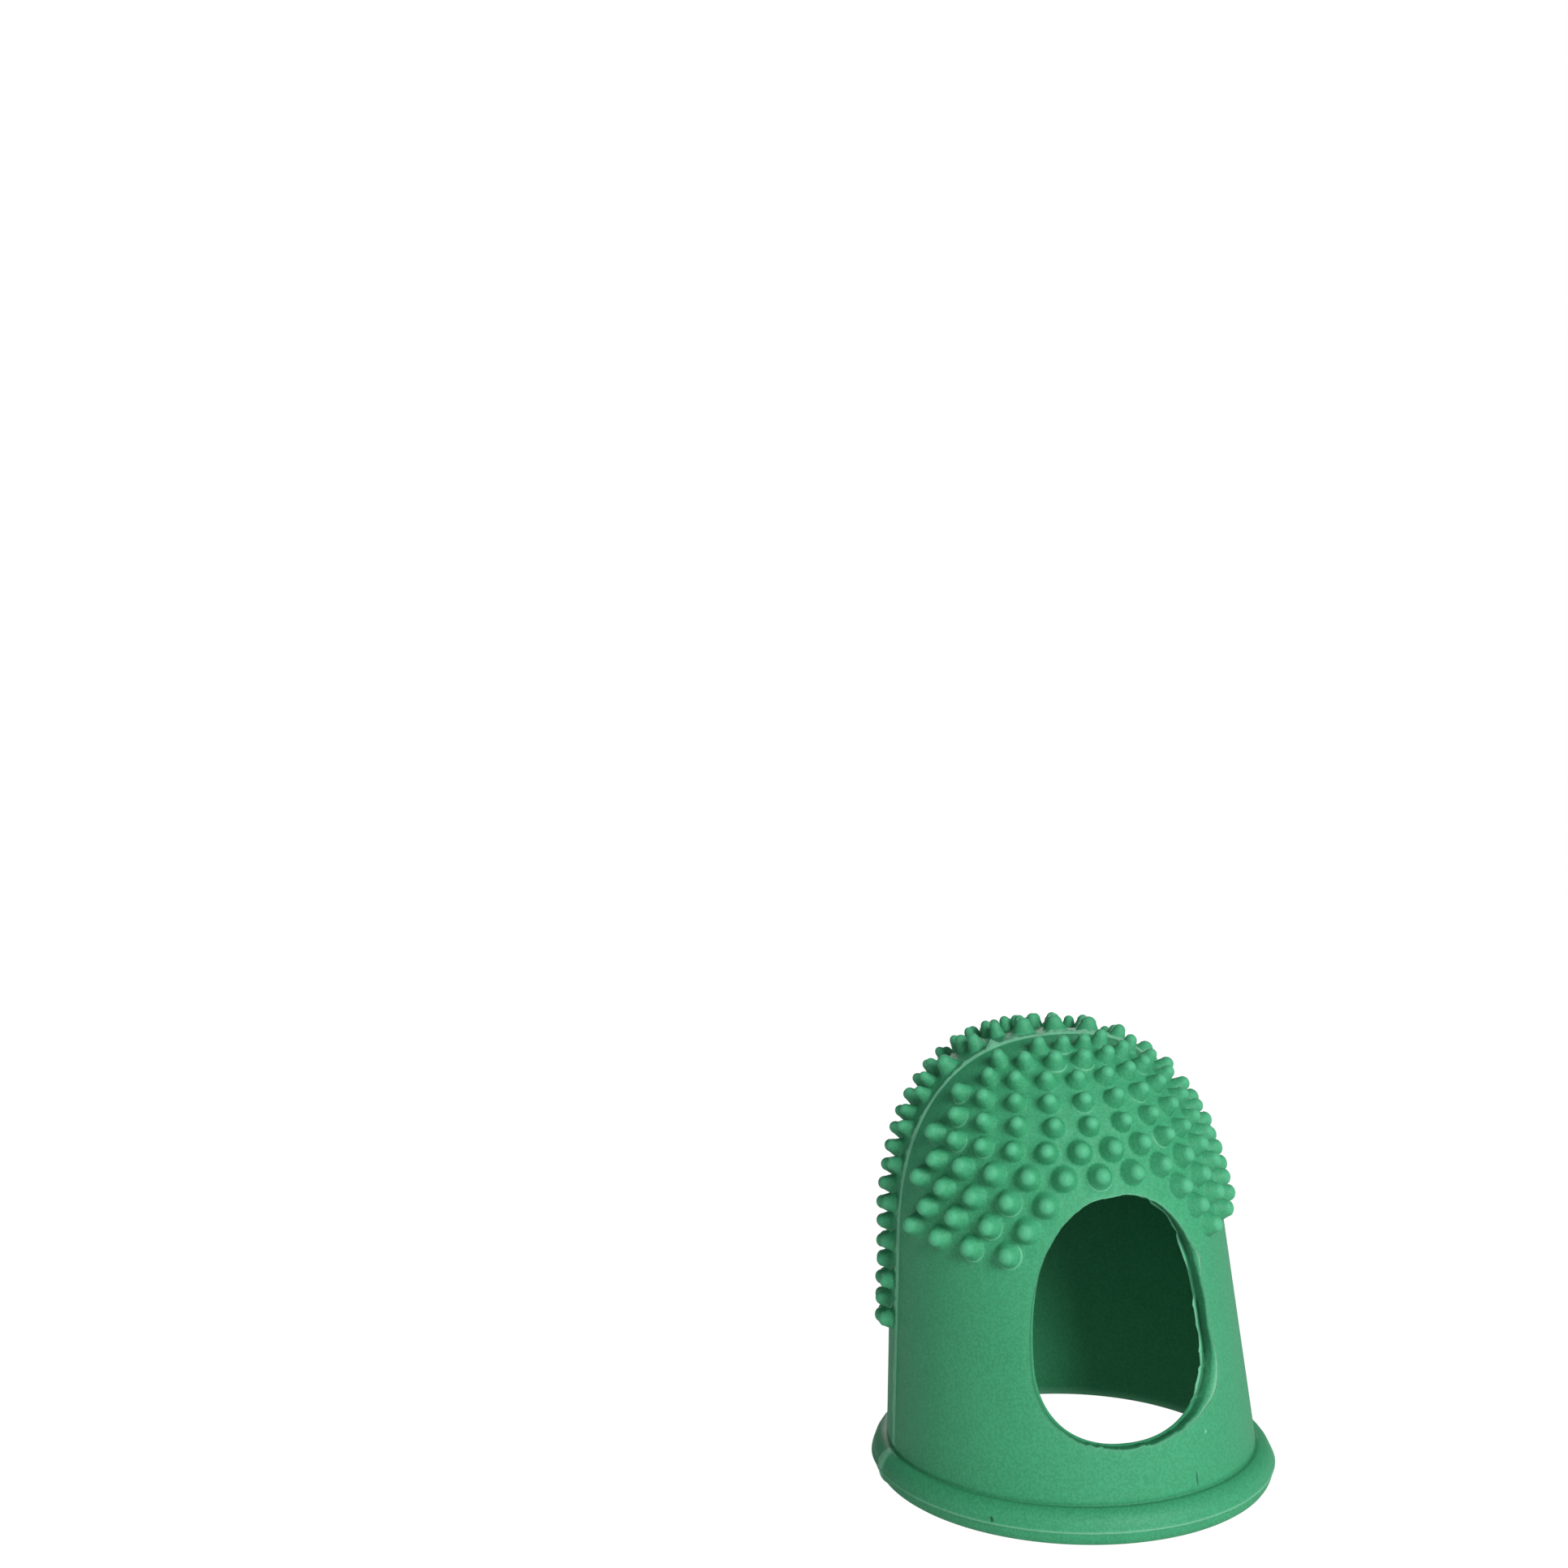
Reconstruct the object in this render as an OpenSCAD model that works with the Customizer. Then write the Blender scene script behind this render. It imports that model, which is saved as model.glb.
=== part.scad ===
// Rubber finger tip: a thin moulded cap with a window in one side and pimples all over the other.
// The origin is the centre of the open end, +Z runs to the closed tip and the window faces -Y.
// All sizes are in millimetres.

/* [Cap] */
// Height of the bare wall from the open end to the tip
cap_h = 26; // [24:0.5:30]
// Outside diameter of the wall where it meets the rim bead
mouth_d = 22.3; // [20:0.1:24]
// How much the radius shrinks for each millimetre of height
taper = 0.07; // [0.04:0.01:0.1]
// Height at which the wall starts to close into the tip
shoulder_z = 14.5; // [13:0.5:16]
// Wall thickness
wall = 0.9; // [0.7:0.1:1.2]

/* [Rim bead] */
// How far the bead stands out of the wall on its widest line
rim_bulge = 0.85; // [0.6:0.05:1.2]
// Height of that widest line
rim_mid_z = 0.8; // [0.6:0.1:1]
// Height at which the bead ends against the wall
rim_top_z = 1.8; // [1.5:0.1:2.2]
// How far the bead's bottom edge stands out of the wall
rim_foot_out = 0.1; // [0:0.05:0.3]
// Bevel inside the open end
mouth_bevel = 0.35; // [0.2:0.05:0.5]

/* [Window] */
// Height of the window's lowest point
window_z = 4.5; // [4:0.25:6]
// Height of its widest line
window_wide_z = 9; // [8:0.25:10]
// Height of its highest point
window_top_z = 17.6; // [16:0.2:18]
// Half of the angle that the window takes out of the wall at its widest
window_half_angle = 31; // [26:1:34]
// How far round the cap its lowest point leans to the left
window_lean = 4; // [0:1:6]

/* [Pimples] */
// How far a pimple stands out of the wall
pimple_h = 0.95; // [0.7:0.05:1.2]
// Diameter at its foot
pimple_d = 1.4; // [1.1:0.05:1.5]
// Diameter across its blunt end
pimple_tip_d = 0.75; // [0.5:0.05:0.9]
// Least distance from a pimple's centre to the window's edge
window_clear = 0.95; // [0.9:0.05:1.5]

/* [Window half] */
// Height of the lowest row of pimples, along the wall from the open end
front_start = 14.45; // [13:0.05:16]
// Distance between rows, along the wall
front_row_pitch = 1.41; // [1.2:0.01:1.6]
// Distance between pimples in a row
front_pitch = 1.89; // [1.8:0.01:2.2]
// Most pimples in a row
front_most = 13; // [9:2:15]
// Distance from a row's last pimple to the parting line
front_margin = 2.4; // [1:0.1:3]

/* [Pad half] */
// Height of the lowest row of pimples, along the wall from the open end
pad_start = 7.2; // [6:0.2:9]
// Distance between rows, along the wall
pad_row_pitch = 1.16; // [1.05:0.01:1.4]
// Distance between pimples in a row
pad_pitch = 2.15; // [1.9:0.05:2.4]
// Most pimples in a row
pad_most = 15; // [11:2:17]
// Distance from a row's last pimple to the parting line
pad_margin = 0.9; // [0.8:0.1:2.5]

/* [Parting line] */
// Thickness of the fin that the mould halves leave
fin_t = 0.2; // [0.15:0.05:0.3]
// Height of that fin above the wall
fin_h = 0.12; // [0.1:0.02:0.2]
// How far the parting line bows towards the window where it passes the tip
parting_bow = 2.4; // [1:0.2:3]

/* [Hidden] */
$fn = 96;
mouth_r = mouth_d / 2;
rim_r = mouth_r + rim_bulge;
rim_foot_r = mouth_r + rim_foot_out;
// Radius of the wall where the bead ends
bead_end_r = mouth_r - taper * rim_top_z;
// Steps in the curve of the tip and in each curve of the bead
tip_steps = 12;
bead_steps = 5;
window_steps = 48;
// The tip is a superellipse: these powers set how flat the top and how full the shoulder is
top_power = 2.3;
side_power = 2.7;
// The window is two halves of superellipses, a little fuller than ellipses
egg_power = 2.2;
// Share of the window's width that is left where its cutter meets the axis
axis_share = 0.05;
// Rows of pimples rise towards the parting line, from a low point beside the window's middle
row_lift = 2.2;
row_low_angle = -15;
// Sides of a pimple, and how deep its foot goes into the wall
pimple_sides = 6;
pimple_root = 0.25;
// The last ring of pimples stays this far from the tip's centre
tip_clear = 0.9;
// Near the tip pimples stand closer: this far apart at its centre, and this much more for each millimetre
// of the wall's radius
tip_pitch = 0.7;
tip_pitch_gain = 0.15;
// But never closer than this
least_pitch = 1.3;
// Seen from above, the parting line is an arc of this radius about [0, parting_y]
parting_r = (pow(mouth_r, 2) + pow(parting_bow, 2)) / (2 * parting_bow);
parting_y = parting_r - parting_bow;
parting_sides = 240;
// Half the length of wall that a pimple's tilt is taken over
slope_step = 0.5;
// How far a cutter runs past the surface it cuts
cut_past = 1;

// Radius of the wall at height z, for a skin that lies `inset` inside the outer one
function skin_r(z, inset) =
    let (top = cap_h - inset)
    let (t = min(1, max(0, (z - shoulder_z) / (top - shoulder_z))))
    (mouth_r - inset - taper * z) * pow(1 - pow(t, top_power), 1 / side_power);

// Points on a skin from the shoulder up to the tip
function tip_curve(inset) = [
    for (i = [0:tip_steps])
        let (t = pow(sin(90 * i / tip_steps), 2 / top_power))
        let (z = shoulder_z + (cap_h - inset - shoulder_z) * t)
        [i == tip_steps ? 0 : skin_r(z, inset), z]
];

// A quarter of an ellipse about [x, z], from angle a to angle b
function bead_arc(x, z, rx, rz, a, b) = [
    for (i = [0:bead_steps])
        let (q = a + (b - a) * i / bead_steps)
        [x + rx * cos(q), z + rz * sin(q)]
];

// Wall line of the outer skin, measured along its length for placing the pimples
function mid_line() = concat([[mouth_r, 0]], tip_curve(0));

function run_to(line, n) = n == 0 ? 0 : run_to(line, n - 1) + norm(line[n] - line[n - 1]);

wall_line = mid_line();
runs = [for (i = [0:len(wall_line) - 1]) run_to(wall_line, i)];
run_z = [for (i = [0:len(wall_line) - 1]) [runs[i], wall_line[i][1]]];
run_r = [for (i = [0:len(wall_line) - 1]) [runs[i], wall_line[i][0]]];
run_end = runs[len(runs) - 1];

function place_z(s) = lookup(s, run_z);
function place_r(s) = lookup(s, run_r);

// Angle of the outward direction above the horizontal, taken over a short piece of the wall
function place_slope(s) =
    let (low = s - slope_step)
    let (high = s + slope_step)
    atan2(place_r(low) - place_r(high), place_z(high) - place_z(low));

// A row's height at angle a: the sides of each half are higher than its middle
function lifted(s, a, low) = s + row_lift * place_r(s) / mouth_r * (1 - cos(a - low));

// Angle between the parting line and the middle plane at run s
function parting_lean(s) =
    asin(min(1, (pow(mouth_r, 2) - pow(place_r(s), 2)) / (2 * parting_y * place_r(s))));

// Distance between pimples in a row at run s, from the distance that holds low on the wall
function pitch_at(s, pitch) = max(least_pitch, min(pitch, tip_pitch + tip_pitch_gain * place_r(s)));

// True where a pimple would stand in or too close to the window
function at_window(s, a) =
    let (x = place_r(s) * sin(a))
    let (z = place_z(s) - window_wide_z)
    let (rx = place_r(s) * sin(window_half_angle) + window_clear)
    let (rz = (z > 0 ? window_top_z - window_wide_z : window_wide_z - window_z) + window_clear)
    abs(a) < 90 && pow(abs(x / rx), egg_power) + pow(abs(z / rz), egg_power) < 1;

module outer_skin() {
    rotate_extrude()
        polygon(concat(
            [[0, 0]],
            bead_arc(rim_foot_r, rim_mid_z, rim_r - rim_foot_r, rim_mid_z, -90, 0),
            bead_arc(bead_end_r, rim_mid_z, rim_r - bead_end_r, rim_top_z - rim_mid_z, 90 / bead_steps, 90),
            tip_curve(0)));
}

module hollow() {
    rotate_extrude()
        polygon(concat(
            [[0, -cut_past], [mouth_r - wall + mouth_bevel + cut_past, -cut_past]],
            [[mouth_r - wall + mouth_bevel, 0]],
            [[mouth_r - wall - taper * mouth_bevel, mouth_bevel]],
            tip_curve(wall)));
}

// An egg drawn on a plane in front of the cap and drawn in to the axis, so its edge is square to the wall
module window_cut() {
    rotate([90, 0, 0])
        linear_extrude(height = rim_r, scale = [1 / axis_share, 1], slices = 1)
            polygon([
                for (i = [0:window_steps - 1])
                    let (q = 360 * i / window_steps)
                    let (rz = sin(q) > 0 ? window_top_z - window_wide_z : window_wide_z - window_z)
                    let (across = sign(cos(q)) * pow(abs(cos(q)), 2 / egg_power))
                    let (up = sign(sin(q)) * pow(abs(sin(q)), 2 / egg_power))
                    let (a = window_half_angle * across - window_lean * pow(min(0, up), 2))
                    [axis_share * rim_r * tan(a), window_wide_z + rz * up]
            ]);
}

module pimple() {
    root_d = pimple_d + (pimple_d - pimple_tip_d) * pimple_root / pimple_h;
    translate([0, 0, -pimple_root])
        cylinder(h = pimple_h + pimple_root, d1 = root_d, d2 = pimple_tip_d, $fn = pimple_sides);
}

module on_wall(s, a) {
    rotate([0, 0, a])
        translate([0, -place_r(s), place_z(s)])
            rotate([90 - place_slope(s), 0, 0])
                pimple();
}

// Staggered rows over one half of the cap, turned to face angle `facing`. The parting line leans into the
// half whose `side` is 1 and away from the one whose `side` is -1.
module pimple_half(facing, side, start, row_pitch, pitch, most, margin, low) {
    rows = floor((run_end - tip_clear - start) / row_pitch);
    for (k = [0:rows]) {
        s = start + k * row_pitch;
        half_arc = 90 - side * parting_lean(s) - margin / place_r(s) * 180 / PI;
        gaps = min(most - 1, round(half_arc * PI / 90 * place_r(s) / pitch_at(s, pitch)));
        if (gaps > 0)
            for (i = [0:gaps - k % 2]) {
                a = half_arc * (2 * (i + (k % 2) / 2) / gaps - 1);
                p = lifted(s, a, low);
                if (p < run_end - tip_clear / 2 && !at_window(p, a + facing))
                    on_wall(p, a + facing);
            }
    }
}

// Thin fin where the two halves of the mould met, over the tip from side to side
module parting_fin() {
    intersection() {
        rotate_extrude()
            polygon(concat([[0, rim_top_z], [skin_r(rim_top_z, 0) + fin_h, rim_top_z]], tip_curve(-fin_h)));
        translate([0, parting_y, 0])
            difference() {
                cylinder(h = cap_h + cut_past, r = parting_r + fin_t / 2, $fn = parting_sides);
                translate([0, 0, -cut_past])
                    cylinder(h = cap_h + 3 * cut_past, r = parting_r - fin_t / 2, $fn = parting_sides);
            }
    }
}

module finger_tip() {
    color("seagreen")
        difference() {
            union() {
                outer_skin();
                parting_fin();
                pimple_half(
                    0, 1, front_start, front_row_pitch, front_pitch, front_most, front_margin, row_low_angle);
                pimple_half(180, -1, pad_start, pad_row_pitch, pad_pitch, pad_most, pad_margin, 0);
            }
            hollow();
            window_cut();
        }
}

finger_tip();
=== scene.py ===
# %% [markdown]
# # Rubber finger tip
# The real object is a thin green rubber cap that a clerk wears on a finger to leaf through paper.
# It is one moulding: a tapered wall with a domed end, a rolled rim, an egg-shaped window for the
# nail, and rows of blunt pimples that grip the paper. This script dresses the CAD model of it. It
# builds one smooth skin with the pimples grown out of it, gives it a rubber finish, and lights it
# as a small product in a studio.

import math

import bpy
import numpy as np
from mathutils.geometry import delaunay_2d_cdt
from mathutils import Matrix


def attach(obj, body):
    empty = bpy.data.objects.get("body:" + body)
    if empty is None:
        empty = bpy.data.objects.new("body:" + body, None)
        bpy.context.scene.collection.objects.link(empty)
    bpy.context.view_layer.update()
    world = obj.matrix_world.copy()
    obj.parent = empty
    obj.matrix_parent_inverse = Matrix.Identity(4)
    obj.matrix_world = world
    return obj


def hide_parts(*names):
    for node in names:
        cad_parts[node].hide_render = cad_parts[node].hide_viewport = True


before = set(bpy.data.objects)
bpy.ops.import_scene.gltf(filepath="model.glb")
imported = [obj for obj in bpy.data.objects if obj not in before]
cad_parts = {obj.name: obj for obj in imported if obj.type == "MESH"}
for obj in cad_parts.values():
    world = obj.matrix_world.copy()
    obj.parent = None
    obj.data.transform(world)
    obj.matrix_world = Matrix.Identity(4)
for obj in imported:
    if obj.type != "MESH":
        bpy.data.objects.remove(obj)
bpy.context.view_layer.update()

# %% [markdown]
# ## Driving sizes
# The mesh repeats the sizes that the CAD source is drawn from, so that each pimple lands on the one
# in the solid. They are in millimetres here, because that is how a mould maker would write them,
# and one factor turns them into Blender's metres at the end.

# %% Driving sizes
MM = 0.001
cap_h = 26.0
mouth_r = 11.15
taper = 0.07
shoulder_z = 14.5
wall = 0.9
top_power = 2.3
side_power = 2.7
rim_r = mouth_r + 0.85
rim_mid_z = 0.8
rim_top_z = 1.8
rim_foot_r = mouth_r + 0.1
mouth_bevel = 0.35
window_z = 4.5
window_wide_z = 9.0
window_top_z = 17.6
window_half_angle = math.radians(31)
window_lean = math.radians(4)
egg_power = 2.2
parting_bow = 2.4
chance = np.random.default_rng(11)

# %% [markdown]
# ## The wall's line
# The wall is a surface of revolution, so all of it follows from one line in the plane of radius and
# height. The line is straight up to the shoulder and then closes as a superellipse, which is fuller
# than a half circle. It is sampled closely once, and every later step looks places up on it by the
# distance run along it.

# %% The wall's line
straight_steps = 80
dome_steps = 700


def wall_line(inset, low_z):
    """The line of a skin that lies `inset` inside the outer one, from low_z up to the tip."""
    top = cap_h - inset
    straight = np.linspace(low_z, shoulder_z, straight_steps, endpoint=False)
    rise = np.sin(np.linspace(0, math.pi / 2, dome_steps)) ** (2 / top_power)
    z = np.concatenate([straight, shoulder_z + (top - shoulder_z) * rise])
    t = np.clip((z - shoulder_z) / (top - shoulder_z), 0, 1)
    r = (mouth_r - inset - taper * z) * (1 - t**top_power) ** (1 / side_power)
    r[-1] = 0
    step = np.hypot(np.diff(r), np.diff(z))
    run = low_z + np.concatenate([[0], np.cumsum(step)])
    flat = np.concatenate([[0], np.cumsum(step[:-1] * 2 / (r[:-2] + r[1:-1]))])
    slope = np.arctan2(-np.gradient(r, run), np.gradient(z, run))
    return {"r": r, "z": z, "run": run, "flat": flat, "slope": slope}


outer_low_z = rim_top_z + 0.3
inner_low_z = mouth_bevel + 0.35
outer = wall_line(0, outer_low_z)
inner = wall_line(wall, inner_low_z)
tip_run = outer["run"][-1]
print("run of the outer wall from mouth to tip, mm:", round(float(tip_run), 2))

# %% [markdown]
# ## Places on a skin
# A place is an angle around the cap, zero at the window, and a run up the wall. Two helpers turn it
# into a point in space and into a point on a flat disc. The disc is a conformal map, which keeps
# small circles round, so a flat triangulation drawn on it is still a good one when it is folded
# back on to the dome.


# %% Places on a skin
def in_space(line, angle, run, lift=0.0):
    """Points at these places, raised by `lift` along the outward normal."""
    slope = np.interp(run, line["run"], line["slope"])
    r = np.interp(run, line["run"], line["r"]) + lift * np.cos(slope)
    z = np.interp(run, line["run"], line["z"]) + lift * np.sin(slope)
    return np.stack([r * np.sin(angle), -r * np.cos(angle), z + 0 * angle], axis=-1)


def on_disc(line, angle, run):
    """The same places on the flat disc, with the tip at its centre."""
    depth = np.interp(run, line["run"][:-1], line["flat"])
    rho = np.where(run >= line["run"][-1] - 1e-6, 0, np.exp(-depth))
    return np.stack([rho * np.sin(angle), -rho * np.cos(angle)], axis=-1)


middle_place = in_space(outer, 0.0, window_wide_z)
print("the window's middle lies at, mm:", middle_place.round(2).tolist())

# %% [markdown]
# The other way round, a point in space gives the place that lies nearest to it. Two more helpers
# measure distances and read columns of numbers off again at other lengths.


# %% Back from space to places
def nearest_place(line, points):
    """Angle and run of the places on the skin that lie nearest to these points."""
    r = np.hypot(points[:, 0], points[:, 1])
    gap = (r[:, None] - line["r"]) ** 2 + (points[:, 2:3] - line["z"]) ** 2
    k = gap.argmin(axis=1)
    tilt = line["slope"][k]
    along = (points[:, 2] - line["z"][k]) * np.cos(tilt) - (r - line["r"][k]) * np.sin(tilt)
    run = np.clip(line["run"][k] + along, line["run"][0], line["run"][-1])
    return np.arctan2(points[:, 0], -points[:, 1]), run


def least_distance(points, others):
    """Distance from each point to the nearest of the others."""
    return np.linalg.norm(points[:, None] - others[None], axis=2).min(axis=1)


def resample(columns, lengths, wanted):
    """Each column of numbers read off again at the wanted lengths."""
    return [np.interp(wanted, lengths, column) for column in columns]


found_angle, found_run = nearest_place(outer, middle_place[None])
print("and back again, angle and run:", found_angle.round(3).tolist(), found_run.round(2).tolist())

# %% [markdown]
# ## The window's outline
# The window is an egg, wider below, and its lowest point leans a little to the left. It is two
# halves of superellipses, as in the CAD source. The outline is drawn with many points and then read
# off again at even steps, so that the edge's small waves have the same scale all the way round.

# %% The window's outline
window_points = 320
window_samples = 4001
turn = np.linspace(0, 2 * math.pi, window_samples)
across = np.sign(np.cos(turn)) * np.abs(np.cos(turn)) ** (2 / egg_power)
up = np.sign(np.sin(turn)) * np.abs(np.sin(turn)) ** (2 / egg_power)
half_tall = np.where(up > 0, window_top_z - window_wide_z, window_wide_z - window_z)
drawn_angle = window_half_angle * across - window_lean * np.minimum(0, up) ** 2
drawn_z = window_wide_z + half_tall * up
drawn_x = drawn_angle * np.interp(drawn_z, outer["z"], outer["r"])
steps = np.hypot(np.diff(drawn_x), np.diff(drawn_z))
drawn_length = np.concatenate([[0], np.cumsum(steps)])
even_length = np.arange(window_points) * drawn_length[-1] / window_points
egg_angle, egg_x, egg_z = resample((drawn_angle, drawn_x, drawn_z), drawn_length, even_length)
print("length of the window's edge, mm:", round(float(drawn_length[-1]), 1))

# %% [markdown]
# At each point of the outline the direction out of the hole is needed too, because the lip, the
# bevel and the film are all moved along it.

# %% Outwards from the window
ahead_x, behind_x = np.roll(egg_x, -1), np.roll(egg_x, 1)
ahead_z, behind_z = np.roll(egg_z, -1), np.roll(egg_z, 1)
egg_out = np.stack([ahead_z - behind_z, behind_x - ahead_x])
egg_out /= np.linalg.norm(egg_out, axis=0)
print("widest point of the window at height, mm:", round(float(egg_z[egg_x.argmax()]), 1))

# %% [markdown]
# ## How the edge wavers
# The window was trimmed by hand on the real cap. On the right the knife wandered: it cut too far in
# two places and not far enough between them, and it left a broad bevel there. Three helpers draw
# such an edge: a seeded wave around the egg, a line of random nicks, and a smooth hump at one
# height.

# %% How the edge wavers
full_turn = 6.28


def wave(lowest, highest, count):
    """A seeded wave around the window, between about -1 and 1."""
    total = np.zeros(window_points)
    place = 2 * math.pi * np.arange(window_points) / window_points
    for beats in chance.integers(lowest, highest, count):
        total += chance.uniform(0.5, 1) * np.sin(beats * place + chance.uniform(0, full_turn))
    return total / (0.75 * count)


def nicks(count, least, most):
    """A line between random depths at random places, which gives the corners of a tear."""
    knots = np.sort(chance.uniform(0, window_points, count))
    depths = chance.uniform(least, most, count)
    return np.interp(np.arange(window_points), knots, depths, period=window_points)


def hump(middle_z, half_height):
    """One smooth hump on the right side of the window, 1 high at middle_z."""
    return right_side * np.exp(-(((egg_z - middle_z) / half_height) ** 2))


right_side = np.clip(1.3 * egg_out[0], 0, 1)
left_side = np.clip(-egg_out[0], 0, 1)
ends = np.abs(egg_out[1]) ** 2
print("points on the window's right side:", int((right_side > 0.5).sum()))

# %% [markdown]
# The lip is how far the edge lies outside the egg. Its waves are finer than a tenth of a
# millimetre, its teeth are longest at the bottom, and the knife's slips are the humps. The bevel is
# widest at the slips, and high up the cut leans under the lip.

# %% The lip, the bevel and the undercut
low_slip_z = 6.9
proud_z = 9.9
teeth_z = 12.3
high_slip_z = 13.5
undercut_z = 15.2
lip = 0.012 * wave(5, 40, 9) + 0.02 * right_side * wave(12, 40, 6)
toothed = 0.15 + ends * np.where(egg_z < window_wide_z, 1.0, 0.55) + 0.7 * hump(teeth_z, 1.5)
lip -= nicks(190, 0.0, 0.13) * toothed
lip += 0.22 * hump(low_slip_z, 1.5) - 0.2 * hump(proud_z, 1.2) + 0.18 * hump(high_slip_z, 0.8)
slack = 0.1 * left_side
bevel = 0.015 + 0.05 * right_side
bevel = bevel + 0.22 * hump(low_slip_z, 1.5) + 0.2 * hump(high_slip_z, 0.7)
undercut = 0.26 * hump(undercut_z, 2.0) + 0.07 * right_side
print("window lip wavers by", round(float(np.ptp(lip)), 2), "mm")

# %% [markdown]
# At the inside of the right edge a torn film of rubber hangs on. It is a second line of nicks,
# which fades out towards the bottom of the window.

# %% The torn film
film_low_z = 5.8
film_fade = np.clip((egg_z - film_low_z) / 0.8, 0, 1)
film = np.clip(nicks(110, -0.02, 0.25), 0.01, 1) * right_side * film_fade
has_film = np.clip(film / 0.03, 0, 1)
print("the film is up to", round(float(film.max()), 2), "mm wide")

# %% [markdown]
# Now the edge can be laid on either skin. The outer skin takes two loops: the lip itself, and a
# guard just outside it that keeps the shading of the wall flat up to the edge.

# %% Loops at the window
guard_gap = 0.07


def window_loop(line, outwards):
    """Angle and run of the window's edge on a skin, moved outwards from the hole's middle."""
    outwards = outwards + slack
    r = np.interp(egg_z, line["z"], line["r"])
    angle = egg_angle + outwards * egg_out[0] / r
    z = egg_z + outwards * egg_out[1]
    return angle, np.interp(z, line["z"], line["run"])


lip_angle, lip_run = window_loop(outer, lip + bevel)
guard_angle, guard_run = window_loop(outer, lip + bevel + guard_gap)
guard_points = in_space(outer, guard_angle, guard_run)
print("lowest and highest run of the lip, mm:", lip_run.min().round(1), lip_run.max().round(1))

# %% [markdown]
# ## The parting fin
# Where the two halves of the mould met, rubber crept into the gap and left a fin thinner than
# paper. It runs up one side, over the tip and down the other. Seen from above it is an arc, which
# bows towards the window at the tip. In the mesh it is a raised line with two lines of vertices on
# the wall at each side of it.

# %% The parting fin
fin_half = 0.07
fin_bank = 0.12
fin_steps = 240
fin_samples = 8001
fin_edge = outer["r"][0]
arc_r = (fin_edge**2 + parting_bow**2) / (2 * parting_bow)
arc_y = arc_r - parting_bow
drawn_x = fin_edge * np.sin(np.linspace(-math.pi / 2, math.pi / 2, fin_samples))
drawn_y = arc_y - np.sqrt(arc_r**2 - drawn_x**2)
drawn_z = np.interp(np.hypot(drawn_x, drawn_y), outer["r"][::-1], outer["z"][::-1])
steps = np.sqrt(np.diff(drawn_x) ** 2 + np.diff(drawn_y) ** 2 + np.diff(drawn_z) ** 2)
drawn_length = np.concatenate([[0], np.cumsum(steps)])
even_length = np.linspace(0, drawn_length[-1], fin_steps)
fin_points = np.stack(resample((drawn_x, drawn_y, drawn_z), drawn_length, even_length), axis=1)
print("length of the fin, mm:", round(float(drawn_length[-1]), 1))


def beside_fin(offset):
    """Angle and run of a line on the wall beside the fin, `offset` millimetres from it."""
    from_middle = fin_points[:, :2] - (0, arc_y)
    moved = (0, arc_y) + from_middle * ((arc_r + offset) / arc_r)
    return nearest_place(outer, np.column_stack([moved, fin_points[:, 2]]))

# %% [markdown]
# The fin isn't even. It is torn in places and most of all over the tip, and a small tab of rubber
# is left on it at the left of the tip.

# %% The fin's height
tab_angle = math.radians(-62)
tab_run = 27.2
tab = in_space(outer, tab_angle, tab_run)
tab_reach = 0.26
tip_reach = 2.5
to_tab = np.linalg.norm(fin_points - tab, axis=1)
at_tip = np.exp(-((fin_points[:, 0] / tip_reach) ** 2))
ragged = chance.uniform(0, 1, fin_steps)
fin_height = 0.12 + 0.05 * np.sin(even_length / 2.3) ** 2 + 0.14 * ragged**6
fin_height += 0.3 * at_tip * ragged**2 + 0.5 * np.exp(-((to_tab / tab_reach) ** 2))
print("fin stands up to", round(float(fin_height.max()), 2), "mm above the wall")

# %% [markdown]
# ## Where the pimples stand
# The mould has two halves and each was drilled in its own rows. On the window half the rows stop
# well above the mouth and leave the window clear. On the pad half, which touches the paper, they
# are closer and run lower. A row isn't level: it dips in the middle of its half and rises to the
# parting line. The rule below is the one in the CAD source.

# %% Bounds of the two halves
window_clear = 0.95


def beside_window(angle, run):
    """True where a pimple would stand in the window or too close to it."""
    r = np.interp(run, outer["run"], outer["r"])
    z = np.interp(run, outer["run"], outer["z"]) - window_wide_z
    half = window_top_z - window_wide_z if z > 0 else window_wide_z - window_z
    wide = abs(r * math.sin(angle)) / (r * math.sin(window_half_angle) + window_clear)
    tall = abs(z) / (half + window_clear)
    return abs(angle) < math.pi / 2 and wide**egg_power + tall**egg_power < 1


def parting_lean(r):
    """Angle between the parting line and the middle plane where the wall's radius is r."""
    plan_r = (mouth_r**2 + parting_bow**2) / (2 * parting_bow)
    return math.asin(min(1, (mouth_r**2 - r**2) / (2 * (plan_r - parting_bow) * r)))


print("the parting line leans", round(math.degrees(parting_lean(6.0)), 1), "degrees at radius 6 mm")

# %% [markdown]
# With these bounds a row is laid out by its run up the wall. Its number of gaps follows from the
# arc that it has, every other row is shifted by half a gap, and each pimple is lifted by how far
# round it stands from the row's low point.

# %% Where the pimples stand
tip_clear = 0.9
tip_pitch = 0.7
tip_pitch_gain = 0.15
least_pitch = 1.3
row_lift = 2.2


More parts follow.
